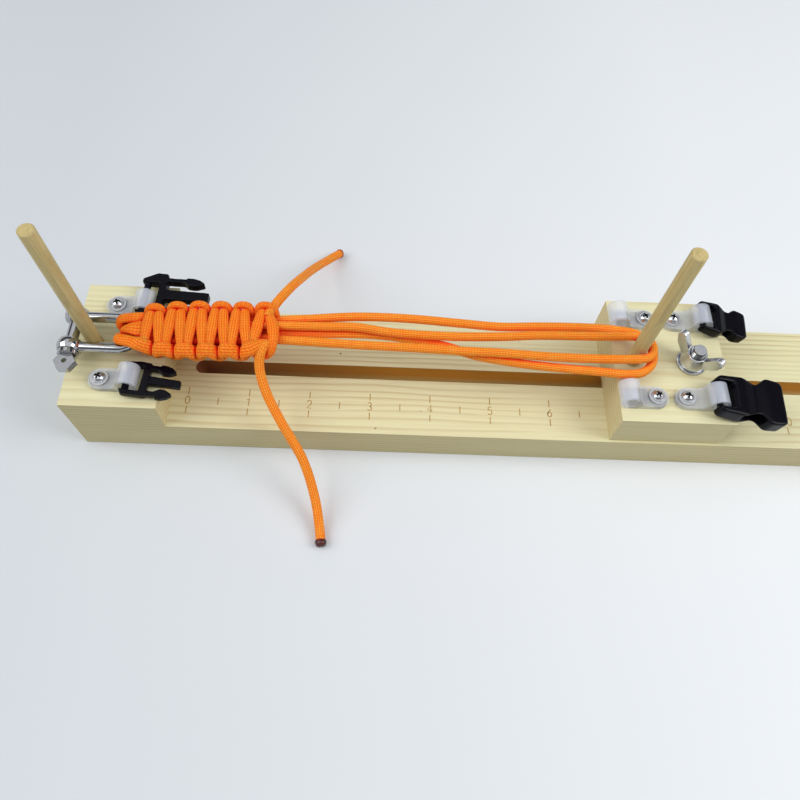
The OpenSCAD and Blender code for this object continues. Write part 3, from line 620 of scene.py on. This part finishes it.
pineSet = {
    "light": (0.77, 0.73, 0.455),
    "dark": (0.52, 0.40, 0.17),
    "endGrain": (0.58, 0.44, 0.19),
    "paintedSideShade": (0.42, 0.30, 0.08),  # painted shade: front and back faces are painted darker than the tops
    "fleck": (0.20, 0.12, 0.05),
    "scorch": (0.33, 0.10, 0.03),  # the slot's left end is burnt most
    "toasted": (0.80, 0.40, 0.04),
    "raw": (0.92, 0.72, 0.28),  # deep in the slot
    "slot": {"half": 3.35, "under": 17.8, "from": 36.5, "to": 361.5},
    "burntTo": (40.0, 125.0),  # along the slot
    "rawUnder": (11.5, 7.5),  # heights in the slot
    "scorchShare": 0.95,
    "wander": {"stretch": (0.006, 0.035, 0.035), "detail": 3.0},
    "fibre": {"stretch": (0.03, 1.4, 1.4), "detail": 4.0, "rough": 0.6},
    "cloud": {"stretch": (0.012, 0.05, 0.05), "detail": 2.0},
    "knots": {"stretch": (0.22, 0.35, 0.35), "detail": 1.0},
    "year": [(0.0, (0, 0, 0)), (0.45, (0.05, 0.05, 0.05)), (0.85, (1, 1, 1)), (1.0, (0, 0, 0))],
    "cloudRange": (0.3, 0.7),
    "fibreRange": (0.35, 0.75),
    "knotRange": (0.79, 0.83),
    "yearShare": 0.68,
    "fibreShare": 0.28,
    "turned": (0.6, 0.9),  # how far a face is turned from the board's top
    "sideShadeShare": 0.4,
    "cut": (0.4, 0.3),  # share of the end grain in late wood, and everywhere
    "rough": (0.2, 0.5),
    "grain": (0.6, 0.4),  # height of fibres and of late wood
    "bump": (0.25, 0.0002),
}
boardSet = {
    "base_rail": {
        "name": "pineRail", "heart": (-70.0, -58.0), "shift": (3.1, 0.0, 1.2), "yearWide": 1.9, "wavy": 6.0,
        "slot": True,
    },
    "slider_block": {
        "name": "pineSlider", "heart": (32.0, -34.0), "shift": (7.7, 2.0, 5.2), "yearWide": 2.6, "wavy": 16.0,
    },
}


def slotWalls(tree, x, y, z, s):  # 1 on the walls of the routed slot
    inside = calc(tree, "LESS_THAN", calc(tree, "ABSOLUTE", y), s["half"])
    below = calc(tree, "LESS_THAN", z, s["under"])
    past = calc(tree, "GREATER_THAN", x, s["from"])
    before = calc(tree, "LESS_THAN", x, s["to"])
    return calc(tree, "MULTIPLY", calc(tree, "MULTIPLY", inside, below), calc(tree, "MULTIPLY", past, before))


def pineMaterial(name, heart, shift, yearWide, wavy, slot=False):
    s = pineSet
    mat, tree, shader = startMaterial(name)
    place = objectPlace(tree)
    x, y, z = parts(tree, place)
    wander = stretchedNoise(tree, place, s["wander"], shift)
    dy = calc(tree, "SUBTRACT", y, heart[0])
    dz = calc(tree, "SUBTRACT", z, heart[1])
    squares = calc(tree, "ADD", calc(tree, "MULTIPLY", dy, dy), calc(tree, "MULTIPLY", dz, dz))
    radius = calc(tree, "MULTIPLY_ADD", wander, wavy, calc(tree, "SQRT", squares))
    late = ramp(tree, calc(tree, "FRACT", calc(tree, "DIVIDE", radius, yearWide)), s["year"])
    fibre = stretchedNoise(tree, place, s["fibre"], shift)
    cloud = stretchedNoise(tree, place, s["cloud"], shift)
    strength = calc(tree, "MULTIPLY", late, spread(tree, cloud, *s["cloudRange"]))
    streaks = calc(tree, "MULTIPLY", spread(tree, fibre, *s["fibreRange"]), s["fibreShare"])
    tint = calc(tree, "MULTIPLY_ADD", strength, s["yearShare"], streaks)
    colour = blendColour(tree, tint, s["light"], s["dark"])
    knots = spread(tree, stretchedNoise(tree, place, s["knots"], shift), *s["knotRange"])
    colour = blendColour(tree, knots, colour, s["fleck"])
    facing = tree.nodes.new("ShaderNodeNewGeometry")
    across, sideways, _ = parts(tree, facing.outputs["Normal"])
    # front and back faces get painted shade
    paintedSideShade = spread(tree, calc(tree, "ABSOLUTE", sideways), *s["turned"])
    colour = blendColour(tree, calc(tree, "MULTIPLY", paintedSideShade, s["sideShadeShare"]), colour, s["paintedSideShade"])
    endGrain = spread(tree, calc(tree, "ABSOLUTE", across), *s["turned"])
    cut = calc(tree, "MULTIPLY_ADD", late, *s["cut"])
    colour = blendColour(tree, calc(tree, "MULTIPLY", endGrain, cut), colour, s["endGrain"])
    if slot:
        walls = slotWalls(tree, x, y, z, s["slot"])
        cooler = spread(tree, x, *s["burntTo"])
        deep = calc(tree, "MULTIPLY", spread(tree, z, *s["rawUnder"]), cooler)
        burnt = blendColour(tree, deep, blendColour(tree, cooler, s["scorch"], s["toasted"]), s["raw"])
        colour = blendColour(tree, calc(tree, "MULTIPLY", walls, s["scorchShare"]), colour, burnt)
    plug(tree, shader.inputs["Base Color"], colour)
    plug(tree, shader.inputs["Roughness"], calc(tree, "MULTIPLY_ADD", fibre, *s["rough"]))
    grain = calc(tree, "MULTIPLY_ADD", fibre, s["grain"][0], calc(tree, "MULTIPLY", late, s["grain"][1]))
    bumpFrom(tree, shader, grain, *s["bump"])
    return mat


bambooSet = {
    "shades": [(0.25, (0.45, 0.34, 0.13)), (0.5, (0.57, 0.45, 0.19)), (0.75, (0.67, 0.55, 0.27))],
    "stain": (0.36, 0.26, 0.10),
    "stainRange": (0.5, 0.75),
    "stainShare": 0.5,
    "fibre": {"stretch": (1.7, 1.7, 0.035), "detail": 4.0, "rough": 0.6},
    "mottle": {"stretch": (0.25, 0.25, 0.1), "detail": 3.0},
    "rough": 0.55,
    "bump": (0.35, 0.0002),
}


def bambooMaterial(s):
    mat, tree, shader = startMaterial("bambooDowel")
    place = objectPlace(tree)
    fibre = stretchedNoise(tree, place, s["fibre"])
    mottle = stretchedNoise(tree, place, s["mottle"])
    stain = calc(tree, "MULTIPLY", spread(tree, mottle, *s["stainRange"]), s["stainShare"])
    colour = blendColour(tree, stain, ramp(tree, fibre, s["shades"]), s["stain"])
    plug(tree, shader.inputs["Base Color"], colour)
    shader.inputs["Roughness"].default_value = s["rough"]
    bumpFrom(tree, shader, fibre, *s["bump"])
    return mat


edgeSet = {"wood": 0.5, "clips": 0.18, "segments": 2, "over": 40}  # over this angle, in degrees


def setFinish(finish, *names):
    for name in names:
        data = nodes[name].data
        data.materials.clear()
        data.materials.append(finish)


def softEdges(width, *names):
    for name in names:
        bevel = nodes[name].modifiers.new("softEdges", "BEVEL")
        bevel.width = width * mm
        bevel.segments = edgeSet["segments"]
        bevel.limit_method = "ANGLE"
        bevel.angle_limit = math.radians(edgeSet["over"])
        bevel.harden_normals = True


for name, board in boardSet.items():
    setFinish(pineMaterial(**board), name)
setFinish(bambooMaterial(bambooSet), "fixed_peg", "slider_peg")
softEdges(edgeSet["wood"], *boardSet)
print("wood finished")


# Scale burnt along the front of the rail

scaleSet = {
    "first": 36.0,
    "inch": 25.4,
    "last": 13,
    "upper": (-10.3, -13.6),
    "half": (-14.9, -18.1),
    "lower": (-19.35, -22.55),
    "digitTop": -14.6,
    "digitTall": 3.6,
    "digitWide": 2.5,
    "digitGap": 0.5,
    "line": 0.42,
    "z": 18.03,
    "burnt": [(0.3, (0.54, 0.33, 0.085)), (0.7, (0.38, 0.21, 0.045))],
    "char": {"scale": 1.1, "detail": 3.0},
    "rough": 0.7,
}


def arcLine(cx, cy, rx, ry, start, stop, stepAngle=18):
    count = max(int(abs(stop - start) / stepAngle), 2)
    turns = np.radians(np.linspace(start, stop, count + 1))
    return [(cx + rx * math.cos(a), cy + ry * math.sin(a)) for a in turns]


digitLines = {
    "0": [arcLine(0.5, 0.5, 0.36, 0.5, 90, 450)],
    "1": [[(0.22, 0.74), (0.55, 1.0), (0.55, 0.0)]],
    "2": [arcLine(0.5, 0.7, 0.34, 0.3, 165, -38) + [(0.14, 0.0), (0.9, 0.0)]],
    "3": [arcLine(0.46, 0.74, 0.3, 0.26, 150, -90) + arcLine(0.46, 0.24, 0.36, 0.24, 90, -150)],
    "4": [[(0.92, 0.3), (0.08, 0.3), (0.66, 1.0), (0.66, 0.0)]],
    "5": [[(0.84, 1.0), (0.26, 1.0), (0.2, 0.56)] + arcLine(0.48, 0.32, 0.36, 0.32, 132, -145)],
    "6": [[(0.74, 0.98), (0.36, 0.66), (0.18, 0.36)] + arcLine(0.5, 0.3, 0.34, 0.3, 170, 530)],
    "7": [[(0.12, 1.0), (0.88, 1.0), (0.4, 0.0)]],
    "8": [arcLine(0.5, 0.75, 0.27, 0.25, 90, 450), arcLine(0.5, 0.25, 0.34, 0.25, 90, 450)],
    "9": [[(0.26, 0.02), (0.64, 0.34), (0.82, 0.64)] + arcLine(0.5, 0.7, 0.34, 0.3, -10, 350)],
}


def burntMaterial(s):
    mat, tree, shader = startMaterial("burntLines")
    char = noiseAt(tree, objectPlace(tree), s["char"]["scale"], s["char"]["detail"])
    plug(tree, shader.inputs["Base Color"], ramp(tree, char, s["burnt"]))
    shader.inputs["Roughness"].default_value = s["rough"]
    return mat


def makeScale(s):
    verts, faces = [], []

    def stroke(points):
        p = np.array(points, float)
        t = np.gradient(p, axis=0)
        t /= np.linalg.norm(t, axis=1)[:, None] + 1e-9
        side = np.stack([-t[:, 1], t[:, 0]], axis=1) * s["line"] / 2
        base = len(verts)
        for a, b in zip(p + side, p - side):
            verts.append((a[0] * mm, a[1] * mm, s["z"] * mm))
            verts.append((b[0] * mm, b[1] * mm, s["z"] * mm))
        for i in range(len(p) - 1):
            k = base + 2 * i
            faces.append((k + 1, k + 3, k + 2, k))

    for k in range(s["last"] + 1):
        x = s["first"] + k * s["inch"]
        stroke([(x, s["upper"][0]), (x, s["upper"][1])])
        stroke([(x, s["lower"][0]), (x, s["lower"][1])])
        if k < s["last"]:
            stroke([(x + s["inch"] / 2, s["half"][0]), (x + s["inch"] / 2, s["half"][1])])
        word = str(k)
        step = s["digitWide"] + s["digitGap"]
        bottom = s["digitTop"] - s["digitTall"]
        for i, digit in enumerate(word):
            left = x - s["digitWide"] / 2 + (i - (len(word) - 1) / 2) * step
            for line in digitLines[digit]:
                stroke([(left + u * s["digitWide"], bottom + v * s["digitTall"]) for u, v in line])
    mesh = bpy.data.meshes.new("burntScale")
    mesh.from_pydata(verts, [], faces)
    mesh.materials.append(burntMaterial(s))
    obj = bpy.data.objects.new("burntScale", mesh)
    bpy.context.scene.collection.objects.link(obj)
    return obj


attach(makeScale(scaleSet), "base")
print("scale burnt in")


# Plastic and metal

nylonSet = {
    "shades": [(0.3, (0.80, 0.86, 0.98)), (0.7, (0.86, 0.90, 1.0))],
    "cloud": {"scale": 0.5, "detail": 3.0},
    "finish": {"Roughness": 0.34, "Alpha": 0.36},  # thin milky plastic lets its load show through
    "bump": (0.08, 0.0002),
}


def nylonMaterial(s):
    mat, tree, shader = startMaterial("milkyNylon")
    cloud = noiseAt(tree, objectPlace(tree), s["cloud"]["scale"], s["cloud"]["detail"])
    plug(tree, shader.inputs["Base Color"], ramp(tree, cloud, s["shades"]))
    setSockets(shader, s["finish"])
    bumpFrom(tree, shader, cloud, *s["bump"])
    return mat


zincSet = {"colour": (0.70, 0.71, 0.73), "rough": 0.21, "scratch": 0.1}
steelSet = {"colour": (0.52, 0.525, 0.54), "rough": 0.04, "scratch": 0.06}
recessFloor = {"fixed_clip_screws": 37.7, "slider_clip_screws": 39.7}  # heights
threadSet = {"top": 46.2, "pitch": 1.0, "range": (0.4, 0.1), "shade": 0.1}
metalSet = {
    "fine": {"stretch": (0.6, 2.5, 2.5), "detail": 4.0, "rough": 0.65},
    "fineRange": (0.35, 0.7),
    "fineShade": 0.8,
    "fineRough": 0.1,
    "bumpDepth": 0.00008,
    "nook": {"samples": 6, "reach": 0.003, "range": (0.1, 0.75)},
    "nookShade": 0.12,  # painted shade where pieces meet
    # painted shade in the cross of a screw's head
    "recessShade": (0.03, 0.03, 0.035),
    "recess": {"below": 0.1, "steep": 0.3, "level": 0.06, "flat": 0.97},
}


def darker(colour, share):
    return tuple(c * share for c in colour)


def recessDirt(tree, place, s, floor):  # 1 in the cross of a screw's head, from the height of its floor: where shade is painted
    _, _, z = parts(tree, place)
    facing = tree.nodes.new("ShaderNodeNewGeometry")
    _, _, up = parts(tree, facing.outputs["Normal"])
    above = calc(tree, "GREATER_THAN", z, floor - s["below"])
    wall = calc(tree, "LESS_THAN", calc(tree, "ABSOLUTE", up), s["steep"])
    level = calc(tree, "LESS_THAN", calc(tree, "ABSOLUTE", calc(tree, "SUBTRACT", z, floor)), s["level"])
    bottom = calc(tree, "MULTIPLY", level, calc(tree, "GREATER_THAN", up, s["flat"]))
    return calc(tree, "MULTIPLY", above, calc(tree, "MAXIMUM", wall, bottom))


def threadRoots(tree, place, s):  # 1 at the roots of the bolt's thread, where shade is painted
    _, _, z = parts(tree, place)
    turns = calc(tree, "DIVIDE", calc(tree, "SUBTRACT", z, s["top"]), s["pitch"])
    root = calc(tree, "ABSOLUTE", calc(tree, "SUBTRACT", calc(tree, "FRACT", turns), 0.5))
    return spread(tree, root, *s["range"])


def metalMaterial(name, colour, rough, scratch, recess=None, thread=None):
    s = metalSet
    mat, tree, shader = startMaterial(name)
    place = objectPlace(tree)
    fine = stretchedNoise(tree, place, s["fine"])
    face = blendColour(tree, spread(tree, fine, *s["fineRange"]), colour, darker(colour, s["fineShade"]))
    # painted shade where pieces meet, from ambient occlusion
    face = blendColour(tree, shelterAt(tree, s["nook"]), darker(colour, s["nookShade"]), face)
    if recess:
        # the cross in each screw head gets painted shade
        face = blendColour(tree, recessDirt(tree, place, s["recess"], recess), face, s["recessShade"])
    if thread:
        # painted shade at the roots of the thread
        face = blendColour(tree, threadRoots(tree, place, thread), face, darker(colour, thread["shade"]))
    plug(tree, shader.inputs["Base Color"], face)
    shader.inputs["Metallic"].default_value = 1.0
    plug(tree, shader.inputs["Roughness"], calc(tree, "MULTIPLY_ADD", fine, s["fineRough"], rough))
    bumpFrom(tree, shader, fine, scratch, s["bumpDepth"])
    return mat


buckleSet = {
    "shades": [(0.35, (0.0015, 0.0015, 0.004)), (0.75, (0.003, 0.003, 0.006))],
    "grain": {"scale": 2.6, "detail": 3.0},
    "rub": {"scale": 0.25, "detail": 3.0},
    "specular": 0.13,
    "rough": (0.14, 0.18),
    "bump": (0.03, 0.0001),
}


def buckleMaterial(s):
    mat, tree, shader = startMaterial("blackBuckle")
    place = objectPlace(tree)
    grain = noiseAt(tree, place, s["grain"]["scale"], s["grain"]["detail"])
    rub = noiseAt(tree, place, s["rub"]["scale"], s["rub"]["detail"])
    plug(tree, shader.inputs["Base Color"], ramp(tree, rub, s["shades"]))
    shader.inputs["Specular IOR Level"].default_value = s["specular"]
    plug(tree, shader.inputs["Roughness"], calc(tree, "MULTIPLY_ADD", grain, *s["rough"]))
    bumpFrom(tree, shader, grain, *s["bump"])
    return mat


mouldSet = {  # voxel in millimetres and passes that soften the edges
    "back_male_buckle": {"voxel": 0.22, "passes": 10},
    "front_male_buckle": {"voxel": 0.22, "passes": 10},
    "front_female_buckle": {"voxel": 0.22, "passes": 80},
    "back_female_buckle": {"voxel": 0.22, "passes": 80},
    "wing_nut": {"voxel": 0.2, "passes": 3},
}


def moulded(settings):
    for name, s in settings.items():
        remesh = nodes[name].modifiers.new("skin", "REMESH")
        remesh.mode = "VOXEL"
        remesh.voxel_size = s["voxel"] * mm
        remesh.use_smooth_shade = True
        soften = nodes[name].modifiers.new("soften", "SMOOTH")
        soften.factor = 0.5
        soften.iterations = s["passes"]


clips = [n for n in nodes if n.endswith("_clip")]
buckles = [n for n in nodes if n.endswith("_buckle")]
zinc = metalMaterial("brightZinc", **zincSet)
setFinish(nylonMaterial(nylonSet), *clips)
setFinish(zinc, "fixed_screw_washers", "slider_screw_washers", "bolt_washer", "wing_nut")
setFinish(metalMaterial("boltZinc", thread=threadSet, **zincSet), "carriage_bolt")
for name, height in recessFloor.items():
    setFinish(metalMaterial(name + "Zinc", recess=height, **zincSet), name)
setFinish(metalMaterial("polishedSteel", **steelSet), "shackle_bow", "shackle_pin")
setFinish(buckleMaterial(buckleSet), *buckles)
moulded(mouldSet)
softEdges(edgeSet["clips"], *clips)
print("clips, buckles and metal finished")


# Floor and light

floorSet = {
    "size": 12.0,
    "z": -0.0002,
    "middle": (180.0, 0.0, 0.0),
    "fade": (500.0, 1100.0),  # the far floor runs into the pale backdrop between these distances
    "far": (0.74, 0.765, 0.79),
    # painted shade on the left of the floor and painted light on the right
    "left": (0.63, 0.665, 0.695),
    "right": (0.785, 0.81, 0.83),
    "between": (-60.0, 280.0),  # where the painted shade on the left gives way to the painted light on the right, in millimetres
    "cloud": {"scale": 0.006, "detail": 2.0, "share": 0.2},
    "finish": {"Roughness": 0.6, "Specular IOR Level": 0.2},
}
lightSet = {
    "sky": [
        (0.0, (0.03, 0.025, 0.02)), (0.35, (0.05, 0.048, 0.042)), (0.65, (0.42, 0.43, 0.45)),
        (1.0, (0.98, 1.0, 1.03)),
    ],
    "backdrop": [
        (0.0, (0.74, 0.765, 0.79)), (0.24, (0.70, 0.72, 0.74)), (0.36, (0.05, 0.05, 0.055)),
        (0.66, (0.10, 0.10, 0.105)), (0.8, (0.80, 0.82, 0.84)), (1.0, (0.95, 0.96, 0.98)),
    ],
    "leftLamp": {"place": (-1.10, -0.18, 1.20), "size": 1.2, "watts": 13.4, "aim": (0.1, 0.0, 0.02)},
    "rightLamp": {"place": (0.95, -0.14, 0.78), "size": 0.6, "watts": 5.6, "aim": (0.25, 0.0, 0.02)},
}


def makeFloor(s):
    reach, z = s["size"], s["z"]
    mesh = bpy.data.meshes.new("paleFloor")
    corners = [(-reach, -reach, z), (reach, -reach, z), (reach, reach, z), (-reach, reach, z)]
    mesh.from_pydata(corners, [], [(0, 1, 2, 3)])
    mat, tree, shader = startMaterial("paleTable")
    place = objectPlace(tree)
    x, _, _ = parts(tree, place)
    cloud = noiseAt(tree, place, s["cloud"]["scale"], s["cloud"]["detail"])
    drift = calc(tree, "SUBTRACT", cloud, 0.5)
    # painted shade on the left and painted light on the right, made uneven by a cloud
    share = calc(tree, "MULTIPLY_ADD", drift, s["cloud"]["share"], spread(tree, x, *s["between"]))
    plug(tree, shader.inputs["Base Color"], blendColour(tree, share, s["left"], s["right"]))
    setSockets(shader, s["finish"])
    far = tree.nodes.new("ShaderNodeVectorMath")
    far.operation = "DISTANCE"
    plug(tree, far.inputs[0], place)
    plug(tree, far.inputs[1], s["middle"])
    fade = calc(tree, "MULTIPLY", spread(tree, far.outputs["Value"], *s["fade"]), seenRays(tree))
    plain = tree.nodes.new("ShaderNodeEmission")
    plug(tree, plain.inputs["Color"], (*s["far"], 1.0))
    mix = tree.nodes.new("ShaderNodeMixShader")
    plug(tree, mix.inputs[0], fade)
    plug(tree, mix.inputs[1], shader.outputs["BSDF"])
    plug(tree, mix.inputs[2], plain.outputs[0])
    plug(tree, tree.nodes["Material Output"].inputs["Surface"], mix.outputs[0])
    mesh.materials.append(mat)
    floor = bpy.data.objects.new("paleFloor", mesh)
    bpy.context.scene.collection.objects.link(floor)


def makeLamp(name, s):
    data = bpy.data.lights.new(name, "AREA")
    data.size = s["size"]
    data.energy = s["watts"]
    lamp = bpy.data.objects.new(name, data)
    bpy.context.scene.collection.objects.link(lamp)
    lamp.location = s["place"]
    lamp.rotation_mode = "QUATERNION"
    lamp.rotation_quaternion = (Vector(s["aim"]) - lamp.location).to_track_quat("-Z", "Y")


def makeWorld(s):  # a soft sky, brightest overhead, and a pale backdrop for what is seen
    world = bpy.data.worlds.new("studio")
    bpy.context.scene.world = world
    world.use_nodes = True
    tree = world.node_tree
    way = tree.nodes.new("ShaderNodeTexCoord")
    _, _, height = parts(tree, way.outputs["Generated"])
    sky, backdrop = ramp(tree, height, s["sky"]), ramp(tree, height, s["backdrop"])
    colour = blendColour(tree, seenRays(tree), sky, backdrop)
    plug(tree, tree.nodes["Background"].inputs["Color"], colour)


makeFloor(floorSet)
for name in ("leftLamp", "rightLamp"):
    makeLamp(name, lightSet[name])
makeWorld(lightSet)
print("floor and light set")
